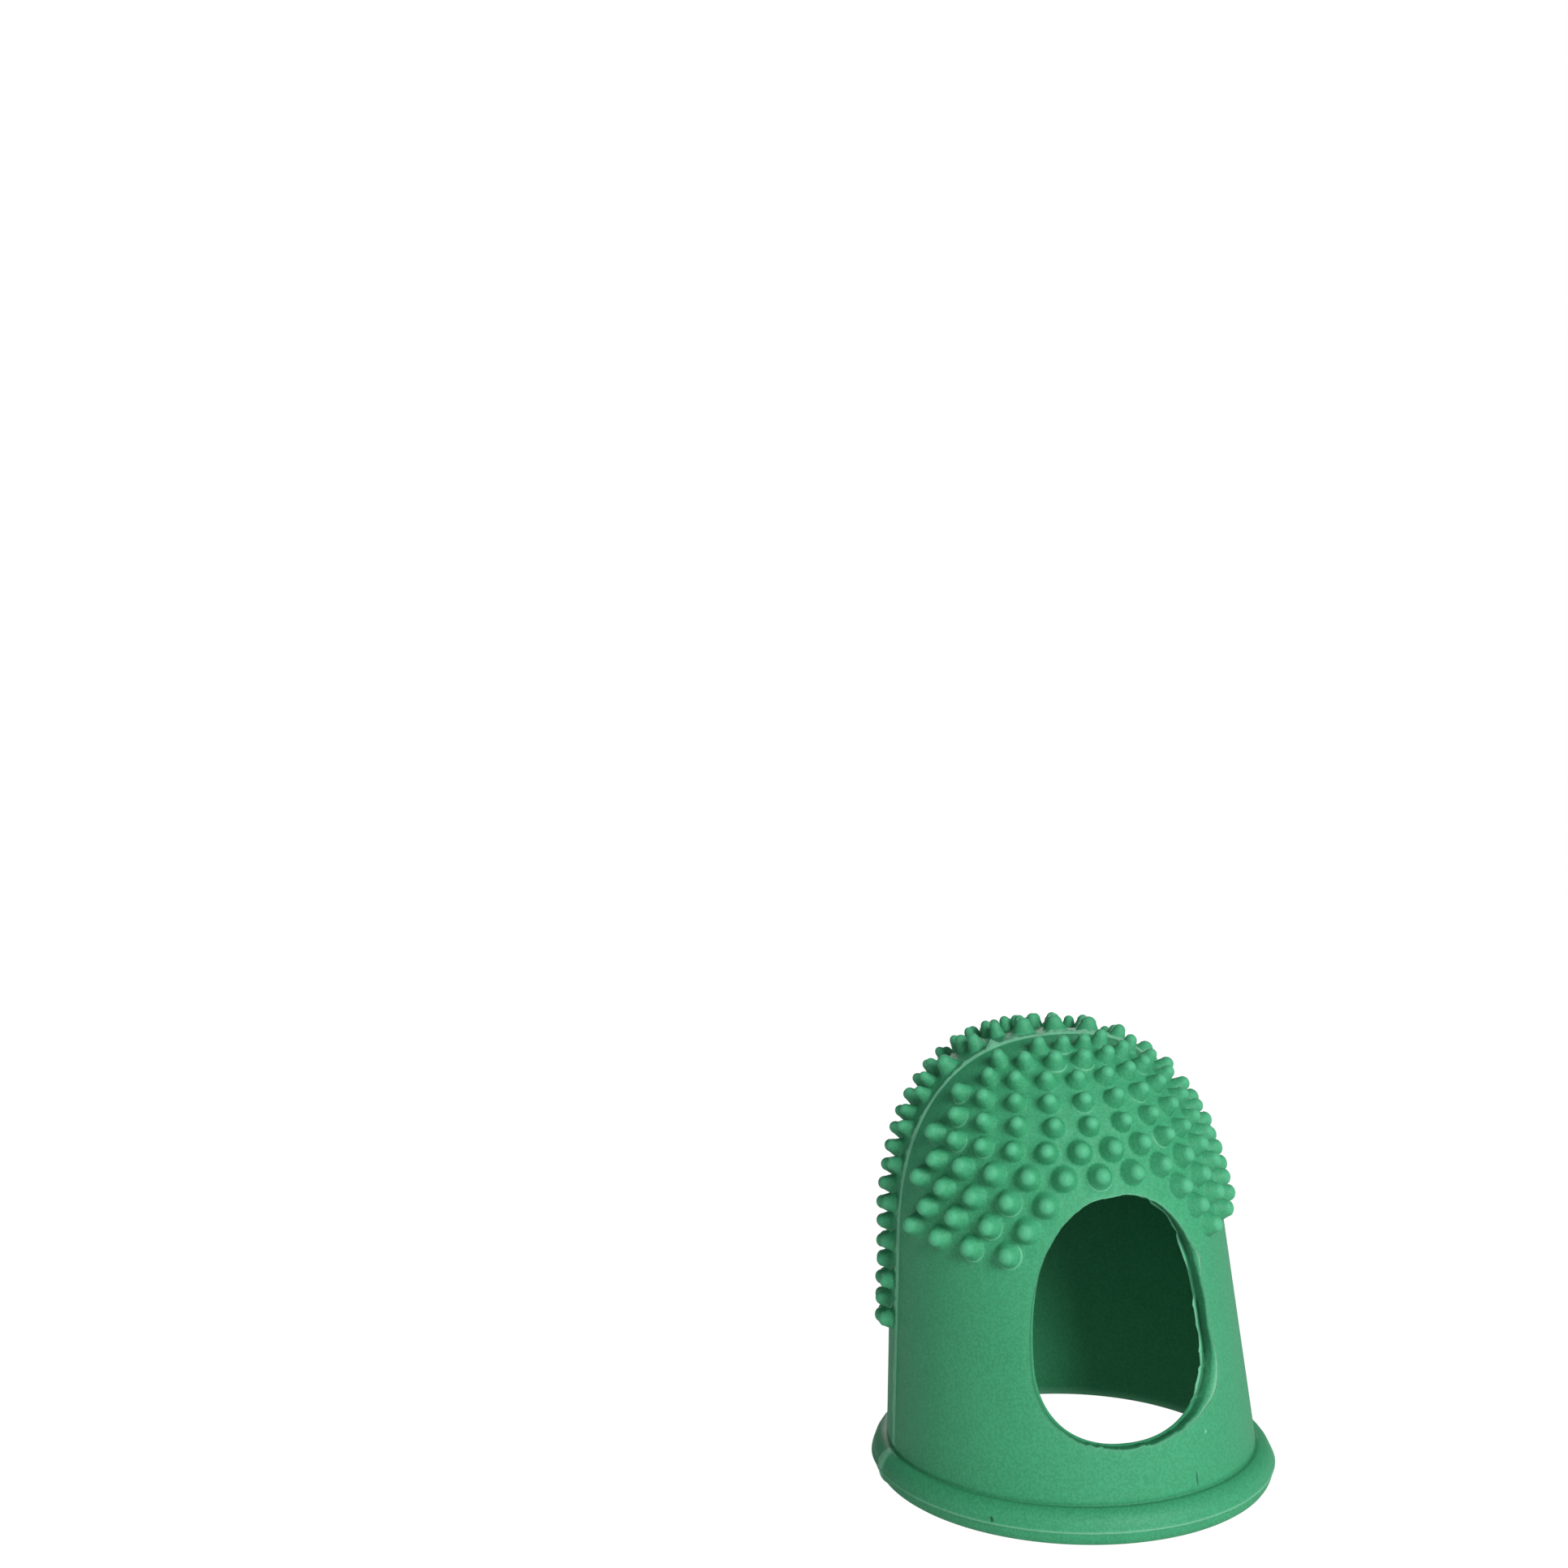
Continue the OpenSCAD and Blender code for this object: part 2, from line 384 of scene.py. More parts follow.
def rows_of_pimples(facing, side, start, row_pitch, pitch, most, margin, low_angle):
    """Angle and run of each pimple on one half of the mould."""
    places = []
    for row in range(int((tip_run - tip_clear - start) / row_pitch) + 1):
        run = start + row * row_pitch
        r = float(np.interp(run, outer["run"], outer["r"]))
        half_arc = math.pi / 2 - side * parting_lean(r) - margin / r
        pitch_here = max(least_pitch, min(pitch, tip_pitch + tip_pitch_gain * r))
        gaps = min(most - 1, round(half_arc * 2 * r / pitch_here))
        for i in range(gaps - row % 2 + 1 if gaps > 0 else 0):
            angle = half_arc * (2 * (i + (row % 2) / 2) / gaps - 1)
            place = run + row_lift * r / mouth_r * (1 - math.cos(angle - low_angle))
            if place < tip_run - tip_clear / 2 and not beside_window(angle + facing, place):
                places.append((angle + facing, place))
    return places


front = rows_of_pimples(
    facing=0,
    side=1,
    start=14.45,
    row_pitch=1.41,
    pitch=1.89,
    most=13,
    margin=2.4,
    low_angle=math.radians(-15),
)
pad = rows_of_pimples(
    facing=math.pi,
    side=-1,
    start=7.2,
    row_pitch=1.16,
    pitch=2.15,
    most=15,
    margin=0.9,
    low_angle=0,
)
pimples = np.array(front + pad)
print("pimples:", len(front), "on the window half,", len(pad), "on the pad half")

# %% [markdown]
# ## Room for each foot
# A pimple's foot is as wide as its neighbours, the fin and the window's edge allow. Near the tip
# the rows of the two halves run into each other. There the real cap has fewer pimples than the rule
# gives, as stout as all the others, so one that would stand too close to a pimple already placed is
# left out here.

# %% Room for each foot
least_to_fin = 0.5
least_apart = 1.1
far_apart = 99
feet = in_space(outer, pimples[:, 0], pimples[:, 1])
apart = np.linalg.norm(feet[:, None] - feet[None], axis=2) + far_apart * np.eye(len(feet))
kept = least_distance(feet, fin_points) > least_to_fin
for k in range(len(feet)):
    kept[k] &= not (apart[k, :k][kept[:k]] < least_apart).any()
print("feet left out near the tip:", int((~kept).sum()))
pimples, feet, apart = pimples[kept], feet[kept], apart[kept][:, kept]

# %% [markdown]
# The feet that stay get their radius: just under half the distance to the next foot, and never over
# the fin's side lines or the guard of the window.

# %% Radius of each foot
most_foot_r = 0.83
fin_gap = 0.1
window_gap = 0.08
beside_room = 0.49 * apart.min(axis=1)
fin_room = least_distance(feet, fin_points) - fin_half - fin_gap
window_room = least_distance(feet, guard_points) - window_gap
foot_r = np.minimum(most_foot_r, np.minimum(np.minimum(beside_room, fin_room), window_room))
print("radius of the feet, mm:", round(float(foot_r.min()), 2), "to", round(float(foot_r.max()), 2))

# %% [markdown]
# ## The shape of one pimple
# Each is a stout blunt cone with a round end and a small fillet where it leaves the wall. A
# displaced grid would make its sides ragged, so each pimple is turned like a little post instead:
# rings of vertices around its own axis. The lowest ring lies on the wall, so the wall's mesh can
# join on to it vertex by vertex.

# %% The shape of one pimple
pimple_h = 0.95
end_h = 0.4
fillet_h = 0.1
around_pimple = 16


def pimple_rings(foot):
    """Radius and height of each ring above the foot, from the fillet to the round end."""
    side_low = min(0.71, 0.87 * foot)
    end_r = min(0.49, 0.7 * side_low)
    end_z = pimple_h - end_h
    rings = [(foot - 0.55 * (foot - side_low), fillet_h / 4), (side_low, fillet_h)]
    for t in (0.4, 0.75, 1):
        rings.append((side_low + (end_r - side_low) * t, fillet_h + (end_z - fillet_h) * t))
    for turn_up in (22, 44, 63, 79):
        q = math.radians(turn_up)
        rings.append((end_r * math.cos(q), end_z + end_h * math.sin(q)))
    return rings


print("rings in the widest pimple:", len(pimple_rings(most_foot_r)))

# %% [markdown]
# ## Joining it all
# Blender's constrained Delaunay triangulation fills the wall between the feet of the pimples, the
# window's edge and the fin. It is given loops of points with the edges that must stay, and loose
# points to fill the rest. The triangles that fall inside a pimple's foot or in the window are then
# thrown away. With each vertex go two numbers for the material: its painted light and shade, light
# above zero and shade below zero, and how far it stands proud of the wall, which paints the ends of
# the pimples paler, partly for wear and partly as painted light.

# %% A store for the mesh
vertices = []
faces = []
light_shade_store = []
proud = []


def add_points(points, light_shade=0.0, height=0.0):
    """Adds points to the mesh and returns their numbers. Painted light is positive, and painted
    shade, as in a crease, is negative.
    """
    first = len(vertices)
    vertices.extend(points.tolist())
    light_shade_store.extend((np.zeros(len(points)) + light_shade).tolist())
    proud.extend((np.zeros(len(points)) + height).tolist())
    return np.arange(first, len(vertices))


def bridge(lower, upper):
    """Quads between two rings of vertex numbers."""
    for i in range(len(lower)):
        j = (i + 1) % len(lower)
        faces.append((int(lower[i]), int(lower[j]), int(upper[j]), int(upper[i])))


def ring_edges(count, closed=True):
    """Pairs of neighbours in a ring or a line of this many points."""
    return [(i, (i + 1) % count) for i in range(count if closed else count - 1)]


print("edges in a ring of 4:", ring_edges(4))

# %% [markdown]
# The loose points stand in staggered rings, like the cells of a honeycomb, so that the triangles
# between them are nearly even. Which triangles fall in a hole is asked with the old trick of
# counting how often a ray crosses the hole's outline.

# %% Loose points and holes
ring_share = 0.87
tip_share = 0.6


def fill_points(line, spacing):
    """Loose places in staggered rings, from just above the skin's lowest ring to near the tip."""
    places = []
    run = line["run"][0] + spacing
    shift = 0
    while run < line["run"][-1] - spacing * tip_share:
        r = float(np.interp(run, line["run"], line["r"]))
        count = max(6, round(2 * math.pi * r / spacing))
        angle = (np.arange(count) + 0.5 * (shift % 2)) * 2 * math.pi / count
        places.append(np.stack([angle, np.full(count, run)], axis=1))
        run += spacing * ring_share
        shift += 1
    return np.concatenate(places)


def inside_loop(loop, spots):
    """True for the spots inside this loop, from where a ray crosses it an odd number of times."""
    a, b = loop, np.roll(loop, -1, axis=0)
    inside = ((spots > loop.min(axis=0)) & (spots < loop.max(axis=0))).all(axis=1)
    x, y = spots[inside, :1], spots[inside, 1:]
    crosses = (a[:, 1] > y) != (b[:, 1] > y)
    level = np.where(a[:, 1] == b[:, 1], 1.0, b[:, 1] - a[:, 1])
    cut = a[:, 0] + (y - a[:, 1]) / level * (b[:, 0] - a[:, 0])
    inside[inside] = np.count_nonzero(crosses & (x < cut), axis=1) % 2 == 1
    return inside


print("loose points at 1 mm on the inner skin:", len(fill_points(inner, 1.0)))

# %% [markdown]
# ## Columns around the cap
# The rim is a lathe form, so it is made of rings that share the same columns. The columns are even,
# except that five narrow ones at each side carry the fin across the rim.

# %% Columns around the cap
column_step = 1.5
clear_of_fin = math.radians(2)
even = np.radians(np.arange(0, 360, column_step))
even = even[np.abs((even % math.pi) - math.pi / 2) > clear_of_fin]
flank = fin_half / fin_edge
shoulder = 0.045
fin_columns = [
    shift + side
    for side in (math.pi / 2, 1.5 * math.pi)
    for shift in (-shoulder, -flank, 0, flank, shoulder)
]
columns = np.sort(np.concatenate([even, fin_columns]))
from_fin = (columns % math.pi) - math.pi / 2
on_fin = np.abs(from_fin) < 1e-6
by_fin = (np.abs(from_fin) < 0.01) & ~on_fin
print("columns around the rim:", len(columns))

# %% [markdown]
# ## Filling a skin
# One skin is filled at a time. Each loop of it is given first, and goes both into the mesh and on
# to the disc. Then the triangulation runs on the disc, and the triangles that are wanted go into
# the mesh.

# %% Filling a skin
loops = []
fixed_edges = []
input_index = []


def give(line, angle, run, lift=0.0, light_shade=0.0, edges=()):
    """Adds places as fixed input of the triangulation and returns their vertex numbers."""
    start = sum(len(part) for part in loops)
    loops.append(on_disc(line, angle, run))
    numbers = add_points(in_space(line, angle, run, lift), light_shade)
    input_index.extend(numbers.tolist())
    fixed_edges.extend((start + a, start + b) for a, b in edges)
    return numbers


def triangulate(keep, upwards=True):
    """Fills between the given loops and adds the triangles that `keep` accepts."""
    flat = np.concatenate(loops)
    made = delaunay_2d_cdt([tuple(p) for p in flat.tolist()], fixed_edges, [], 0, 1e-7)
    number = np.array([input_index[origin[0]] if origin else -1 for origin in made[3]])
    triangles = np.array(made[2])
    triangles = triangles[(number[triangles] >= 0).all(axis=1)]
    flat_middle = np.array([tuple(p) for p in made[0]])[triangles].mean(axis=1)
    middle = np.array(vertices)[number[triangles]].mean(axis=1)
    wanted = keep(middle, flat_middle)
    for a, b, c in number[triangles[wanted]].tolist():
        faces.append((a, b, c) if upwards else (a, c, b))
    print("skin:", int(wanted.sum()), "triangles,", int((number < 0).sum()), "crossings")

# %% [markdown]
# ## The outer skin
# First comes the ring that meets the rim. The fin starts on it, so it is raised there and gets
# painted light.

# %% The ring at the rim
# The fin and its flanks on this ring get painted light.
rim_ring = give(
    outer,
    columns,
    np.full(len(columns), outer["run"][0]),
    lift=np.where(on_fin, 0.1, 0.0),
    light_shade=on_fin * 1.0 + by_fin * 0.55,
    edges=ring_edges(len(columns)),
)
print("points in the ring at the rim:", len(rim_ring))

# %% [markdown]
# The feet of the pimples come next. A foot is a circle in the plane that touches the wall there,
# moved on to the wall itself.

# %% Feet of the pimples
around = np.arange(around_pimple) * 2 * math.pi / around_pimple


def circle_round(side, above):
    """A circle of radius 1 in the plane of these two directions."""
    return np.cos(around)[:, None] * side + np.sin(around)[:, None] * above


foot_rings = []
pimple_axes = []
for (angle, run), foot, reach in zip(pimples, feet, foot_r):
    slope = float(np.interp(run, outer["run"], outer["slope"]))
    flat_out = np.array([math.sin(angle), -math.cos(angle), 0])
    out = math.cos(slope) * flat_out + np.array([0, 0, math.sin(slope)])
    side = np.array([math.cos(angle), math.sin(angle), 0])
    above = np.cross(out, side)
    ring_angle, ring_run = nearest_place(outer, foot + reach * circle_round(side, above))
    foot_rings.append(give(outer, ring_angle, ring_run, edges=ring_edges(around_pimple)))
    pimple_axes.append((out, side, above))
print("feet given:", len(foot_rings))

# %% [markdown]
# Then the window's edge, which is as thin as a knife leaves it and gets painted light, as does the
# guard a little.

# %% The window's edge on the outer skin
# Painted light along the lip, most at the ends and on the right.
lip_light = 0.3 + 0.3 * ends + 0.25 * right_side
outer_loop = give(outer, lip_angle, lip_run, light_shade=lip_light, edges=ring_edges(window_points))
lip_loop = loops[-1]
# The guard gets a little painted light.
give(outer, guard_angle, guard_run, light_shade=0.05, edges=ring_edges(window_points))
print("points round the window:", len(outer_loop))

# %% [markdown]
# The fin is the raised line between its side lines, and it and its near side lines get painted
# light. It leaves out the ends, which the ring has.

# %% The fin's lines
fin_edges = ring_edges(fin_steps - 2, closed=False)
# The fin and its near side lines get painted light.
for offset, light_shade in ((-fin_bank, 0), (-fin_half, 0.55), (fin_half, 0.55), (fin_bank, 0)):
    angle, run = beside_fin(offset)
    give(outer, angle[1:-1], run[1:-1], light_shade=light_shade, edges=fin_edges)
angle, run = nearest_place(outer, fin_points)
give(outer, angle[1:-1], run[1:-1], lift=fin_height[1:-1], light_shade=1.0, edges=fin_edges)
print("points along the fin:", fin_steps - 2)

# %% [markdown]
# The loose points keep clear of all these lines, so that no sliver triangles form.

# %% Loose points on the outer skin
outer_spacing = 0.48
clear_of_feet = 0.16
clear_of_guard = 0.2
clear_of_arc = 0.26
loose = fill_points(outer, outer_spacing)
spot = in_space(outer, loose[:, 0], loose[:, 1])
from_feet = np.linalg.norm(spot[:, None] - feet[None], axis=2) - foot_r
from_arc = np.abs(np.hypot(spot[:, 0], spot[:, 1] - arc_y) - arc_r)
free = (from_feet.min(axis=1) > clear_of_feet) & (from_arc > clear_of_arc)
free &= least_distance(spot, guard_points) > clear_of_guard
free &= ~inside_loop(lip_loop, on_disc(outer, loose[:, 0], loose[:, 1]))
give(outer, loose[free, 0], loose[free, 1])
print("loose points on the outer skin:", int(free.sum()))

# %% [markdown]
# A triangle whose middle lies a little inside a foot's circle belongs to the pimple's hole.

# %% The outer skin is filled
foot_inside = 0.985


def outside_the_holes(middle, flat_middle):
    """True for triangles of the wall, false in a pimple's foot or in the window."""
    to_feet = np.linalg.norm(middle[:, None] - feet[None], axis=2) / foot_r
    return (to_feet.min(axis=1) > foot_inside) & ~inside_loop(lip_loop, flat_middle)


triangulate(outside_the_holes)

# %% [markdown]
# ## Growing the pimples
# Now each foot is carried up through its rings to a closed end. No two are quite alike on the real
# cap, so each gets a little more or less height and leans by a degree or two. About one in four has
# a thin arc of flash round its lower side, where the mould's pin had worn, and the arc gets painted
# light. The rings get paler towards the end, partly for wear and partly as painted light.

# %% Growing the pimples
flash_share = 0.25
flash_h = 0.03
for numbers, (out, side, above), foot, reach in zip(foot_rings, pimple_axes, feet, foot_r):
    taller = chance.uniform(0.93, 1.0)
    lean = chance.normal(0, 0.03, 2)
    lean_to = lean[0] * side + lean[1] * above
    tone = chance.uniform(0.75, 1.0)
    arc = np.clip(0.3 - np.sin(around + chance.normal(0, 0.6)), 0, 1)
    arc = arc * (chance.uniform() < flash_share)
    sag = (np.array([vertices[n] for n in numbers]) - foot) @ out
    below = numbers
    for radius, height in pimple_rings(reach):
        flash_light_shade = arc * (height < fillet_h / 2)
        lift = height * taller + flash_h * flash_light_shade + sag * (radius / reach) ** 2
        ring = foot + height * lean_to + radius * circle_round(side, above)
        # The flash arc gets painted light, and the rings get paler towards the end, partly wear and
        # partly painted light.
        upper = add_points(ring + lift[:, None] * out, 0.6 * flash_light_shade, tone * (height / pimple_h) ** 2)
        bridge(below, upper)
        below = upper
    end = foot + pimple_h * taller * out + pimple_h * lean_to
    tip = int(add_points(end[None], height=tone)[0])
    for i in range(around_pimple):
        faces.append((int(below[i]), int(below[(i + 1) % around_pimple]), tip))
print("faces after the pimples:", len(faces))

# %% [markdown]
# ## The inner skin
# The inside is smooth, and it gets painted shade that grows towards the tip. It is triangulated in
# the same way with far fewer points, and its faces are turned to look inwards.

# %% The inner skin
loops.clear()
fixed_edges.clear()
input_index.clear()
low_run = np.full(len(columns), inner["run"][0])
inner_ring = give(inner, columns, low_run, edges=ring_edges(len(columns)))
film_angle, film_run = window_loop(inner, undercut - film)
# The torn film gets painted light.
film_light = 0.65 * has_film
inner_loop = give(inner, film_angle, film_run, light_shade=film_light, edges=ring_edges(window_points))
film_loop = loops[-1]
print("points in the inner ring:", len(inner_ring))

# %% [markdown]
# The painted shade goes in as a negative value, which grows with the run up the wall.

# %% The inner skin is filled
inner_spacing = 0.75
clear_of_film = 0.3
tip_shade = 0.6
loose = fill_points(inner, inner_spacing)
spot = in_space(inner, loose[:, 0], loose[:, 1])
free = least_distance(spot, in_space(inner, film_angle, film_run)) > clear_of_film
free &= ~inside_loop(film_loop, on_disc(inner, loose[:, 0], loose[:, 1]))
# Painted shade on the inner skin, growing towards the tip.
shade_inside = np.interp(loose[free, 1], (6, 24), (0, tip_shade))
give(inner, loose[free, 0], loose[free, 1], light_shade=-shade_inside)
give(inner, np.zeros(1), np.full(1, inner["run"][-1]), light_shade=-tip_shade)


def outside_inner_window(middle, flat_middle):
    """True for triangles of the inner wall, false in the window."""
    return ~inside_loop(film_loop, flat_middle)


triangulate(outside_inner_window, upwards=False)

# %% [markdown]
# ## The window's cut edge
# The cut face runs square through the wall. Outside it begins with the knife's bevel, its middle is
# a little hollow, and the film inside stands up at its inner edge. Rings of vertices carry it from
# the outer loop to the inner one. Each line below gives a ring's depth in the wall, how far it is
# moved out of the hole, and its painted light and shade: painted light on the lip, the bevel and
# the film, and painted shade on the cut face, most on the right, and in the groove at the film's
# foot.

# %% The window's cut edge
edge_rings = [outer_loop]
# The third number is painted light above zero and painted shade below it.
for depth, moved, light_shade in (
    (0.01, lip + 0.9 * bevel, lip_light),
    (0.02 + 0.45 * bevel, lip + 0.5 * bevel, 0.6 * bevel),
    (0.04 + 0.9 * bevel, lip + 0.05 * bevel, 0.0),
    (0.1 + 0.9 * bevel, lip, -0.15),
    (0.5, 0.6 * lip + 0.04, -0.1 - 0.25 * right_side),
    (0.68, 0.3 * lip + 0.06, -0.4 * right_side),
    (0.765, 0.1 * lip + 0.05 + 0.6 * film, -0.9 * has_film),
    (0.8, 0.2 * film, -0.7 * has_film),
    (0.825, -0.6 * film, 0.55 * has_film),
    (0.86, -0.95 * film, 0.65 * has_film),
):
    slid = moved + undercut * depth / wall
    outside = in_space(outer, *window_loop(outer, slid))
    inside = in_space(inner, *window_loop(inner, slid))
    share = (np.zeros(window_points) + depth)[:, None] / wall
    edge_rings.append(add_points(outside + share * (inside - outside), light_shade))
edge_rings.append(inner_loop)
for nearer, deeper in zip(edge_rings[:-1], edge_rings[1:]):
    bridge(deeper, nearer)
print("rings across the window's edge:", len(edge_rings))

# %% [markdown]
# ## The rolled rim
# The rim is a bead that stiffens the mouth. A sharp crease parts it from the wall and gets painted
# shade, a hair line of flash runs round its widest part and gets painted light, and it rests on a
# narrow flat foot. The two helpers below give its section from the wall outside to the wall inside,
# and every point of it becomes a ring.

# %% Section of the rim, outside
bead_end_r = mouth_r - taper * rim_top_z
bead_r = rim_r - 0.07
flash_half = 0.045


def upper_bead():
    """Radius, height and painted light and shade at each ring from the wall down to the line of
    flash.
    """
    # The crease gets painted shade, below zero.
    crease = ((-0.01, 2.0, 0), (-0.015, 1.93, -0.1), (-0.02, 1.87, -0.25), (-0.03, 1.81, -0.5))
    crease += ((-0.01, 1.76, -0.55), (0.05, 1.755, -0.4), (0.12, 1.765, -0.2), (0.19, 1.76, -0.1))
    section = [(bead_end_r + out, z, light_shade) for out, z, light_shade in crease]
    for q in np.radians((74, 66, 56, 44, 32, 20, 10, 5)):
        r = bead_end_r + (bead_r - bead_end_r) * math.cos(q)
        section.append((r, rim_mid_z + 0.98 * math.sin(q), 0))
    # The line of flash gets painted light.
    section.append((rim_r - 0.05, rim_mid_z + flash_half, 0.3))
    section.append((rim_r + 0.03, rim_mid_z, 1))
    section.append((rim_r - 0.05, rim_mid_z - flash_half, 0.3))
    return section


print("rings in the upper part of the rim:", len(upper_bead()))

# %% [markdown]
# Below the flash the bead draws in to its flat foot, and a bevel with painted light, which stands
# in for light thrown up from the floor, leads to the wall inside.


# %% Section of the rim, foot and inside
def lower_bead():
    """Radius, height and painted light and shade at each ring from under the flash to the inner
    wall.
    """
    section = []
    for q in np.radians((8, 18, 30, 43, 56, 68, 79)):
        r = rim_foot_r + (bead_r - rim_foot_r) * math.cos(q) ** 0.7
        section.append((r, rim_mid_z * (1 - math.sin(q)), 0))
    bevel_r = mouth_r - wall + mouth_bevel
    # The bevel inside gets painted light that stands in for light thrown up from the floor.
    section += [(rim_foot_r, 0.0, 0), (bevel_r + 0.08, 0.0, 0), (bevel_r - 0.02, 0.04, 0.6)]
    section += [(bevel_r - 0.14, 0.2, 0.8), (mouth_r - wall + 0.06, 0.42, 0.4)]
    return section


bead_section = upper_bead() + lower_bead()
print("width of the flat foot, mm:", round(rim_foot_r - (mouth_r - wall + mouth_bevel), 2))

# %% [markdown]
# The fin crosses the bead as a flat leaf-shaped ridge, where the two halves of the mould were worn,
# and the ridge gets painted light. The flash wobbles a little, and nothing stands out further than
# it does.

# %% Rings of the rim
wobble = 0.5 + 0.5 * np.sin(3 * columns + 1) * np.sin(17 * columns)
most_r = rim_r + 0.06
ridge = on_fin | by_fin
ridge_h = 0.08
ridge_length = 1.1
ridge_half, leaf_half = 0.003, 0.022
below = rim_ring
for r, z, flash_light_shade in bead_section:
    on_bead = z > 0.05 and r > mouth_r
    leaf = math.sin(math.pi * min(1, max(0, (rim_top_z + 0.05 - z) / ridge_length)))
    raised = ridge * ridge_h if on_bead else on_fin * 0.05 * (r > mouth_r - 0.3)
    ring_r = np.minimum(r + raised + max(flash_light_shade, 0) * 0.03 * (wobble - 0.5), max(r, most_r))
    half = ridge_half + leaf_half * leaf
    spread = np.where(by_fin, np.sign(from_fin) * half, 0) * on_bead
    angle = columns + spread
    level = np.full(len(columns), z)
    ring = np.stack([ring_r * np.sin(angle), -ring_r * np.cos(angle), level], axis=1)
    # The fin's ridge, the flash and the inner bevel get painted light, and the crease gets painted
    # shade.
    light_shade = np.where(ridge, 0.75 * on_bead, flash_light_shade * (0.8 if flash_light_shade > 0 else 0.6))
    upper = add_points(ring, light_shade)
    bridge(upper, below)
    below = upper
bridge(inner_ring, below)
print("rings in the rim:", len(bead_section))

# %% [markdown]
# ## Into Blender
# The store becomes one mesh object in metres. Every edge must have exactly two faces, because the
# cap is one closed solid, and the check below says so. The two numbers of each vertex go in as
# attributes, for the material to read.

# %% Into Blender
mesh = bpy.data.meshes.new("rubber_cap")
mesh.from_pydata((np.array(vertices) * MM).tolist(), [], faces)
print("mended by Blender:", mesh.validate())
mesh.polygons.foreach_set("use_smooth", np.ones(len(mesh.polygons), dtype=bool))
for name, values in (("light_shade", light_shade_store), ("proud", proud)):
    attribute = mesh.attributes.new(name, "FLOAT", "POINT")
    attribute.data.foreach_set("value", np.array(values, dtype=np.float32))
mesh.update()
cap = bpy.data.objects.new("rubber_cap", mesh)
bpy.context.scene.collection.objects.link(cap)

sides = np.sort(np.array([e for face in mesh.polygons for e in face.edge_keys]), axis=1)
_, uses = np.unique(sides, axis=0, return_counts=True)
triangle_count = sum(len(face.vertices) - 2 for face in mesh.polygons)
print("open edges:", int((uses != 2).sum()), "triangles:", triangle_count)

# %% [markdown]
# ## Helpers for the finish
# A shader group is a small node tree with named sockets, built once and placed in a material. These
# helpers make an empty group, set a node's sockets by name, and make the nodes that do sums.


# %% Helpers for the finish
def new_group(name, inputs, outputs):
    """An empty shader group; inputs are (name, kind) pairs, and outputs are names of floats."""
    group = bpy.data.node_groups.new(name, "ShaderNodeTree")
    for label, kind in inputs:
        group.interface.new_socket(label, in_out="INPUT", socket_type=kind)
    for label in outputs:
        group.interface.new_socket(label, in_out="OUTPUT", socket_type="NodeSocketFloat")
    return group


def set_sockets(node, **values):
    """Sets a node's inputs; From_Min=1 sets the one labelled From Min."""
    for label, value in values.items():
        node.inputs[label.replace("_", " ")].default_value = value


def math_node(nodes, operation):
    """A Math node that does this operation."""
    node = nodes.new("ShaderNodeMath")
    node.operation = operation
    return node


def vector_node(nodes, operation):
    """A Vector Math node that does this operation."""
    node = nodes.new("ShaderNodeVectorMath")
    node.operation = operation
    return node


print("groups before the finish:", len(bpy.data.node_groups))

# %% [markdown]
# ## The rubber's grain
# The mould was blasted, so the rubber has a fine satin grain, with faint cloudy patches of colour
# where it cured unevenly and pale specks of the filler. All are noise in object space, so they stay
# put whatever the view. The group gives the height of the grain and a mask for the clouds and for
# the specks.


# %% The rubber's grain
def noise(nodes, scale, detail, roughness):
    """A noise texture; its scale is in waves per metre."""
    node = nodes.new("ShaderNodeTexNoise")
    set_sockets(node, Scale=scale, Detail=detail, Roughness=roughness)
    return node


def rubber_grain():
    """Group: place -> grain height, a mask of clouds and a mask of specks."""
    group = new_group(
        "rubber grain",
        inputs=[("Place", "NodeSocketVector")],
        outputs=["Grain", "Clouds", "Specks"],
    )
    nodes, links = group.nodes, group.links
    source = nodes.new("NodeGroupInput")
    result = nodes.new("NodeGroupOutput")
    fine = noise(nodes, 8000, 2, 0.6)
    broad = noise(nodes, 1300, 2, 0.5)
    patches = noise(nodes, 260, 4, 0.6)
    specks = noise(nodes, 7000, 1, 0.5)
    both = math_node(nodes, "ADD")
    for node in (fine, broad, patches, specks):
        links.new(source.outputs["Place"], node.inputs["Vector"])
    links.new(fine.outputs["Fac"], both.inputs[0])
    links.new(broad.outputs["Fac"], both.inputs[1])
    links.new(both.outputs[0], result.inputs["Grain"])
    links.new(patches.outputs["Fac"], result.inputs["Clouds"])
    sharper = nodes.new("ShaderNodeMapRange")
    set_sockets(sharper, From_Min=0.4, From_Max=0.62)
    links.new(specks.outputs["Fac"], sharper.inputs["Value"])
    links.new(sharper.outputs["Result"], result.inputs["Specks"])
    return group


grain_group = rubber_grain()
print("nodes in the grain:", len(grain_group.nodes))

# %% [markdown]
# ## Small marks
# Three small marks on the real cap are kept: a hair crack above the rim in front, a dark speck on
# the rim at the left, and a pale speck above the rim at the right. Each is a soft ellipsoid in
# object space, and the group gives its mask.


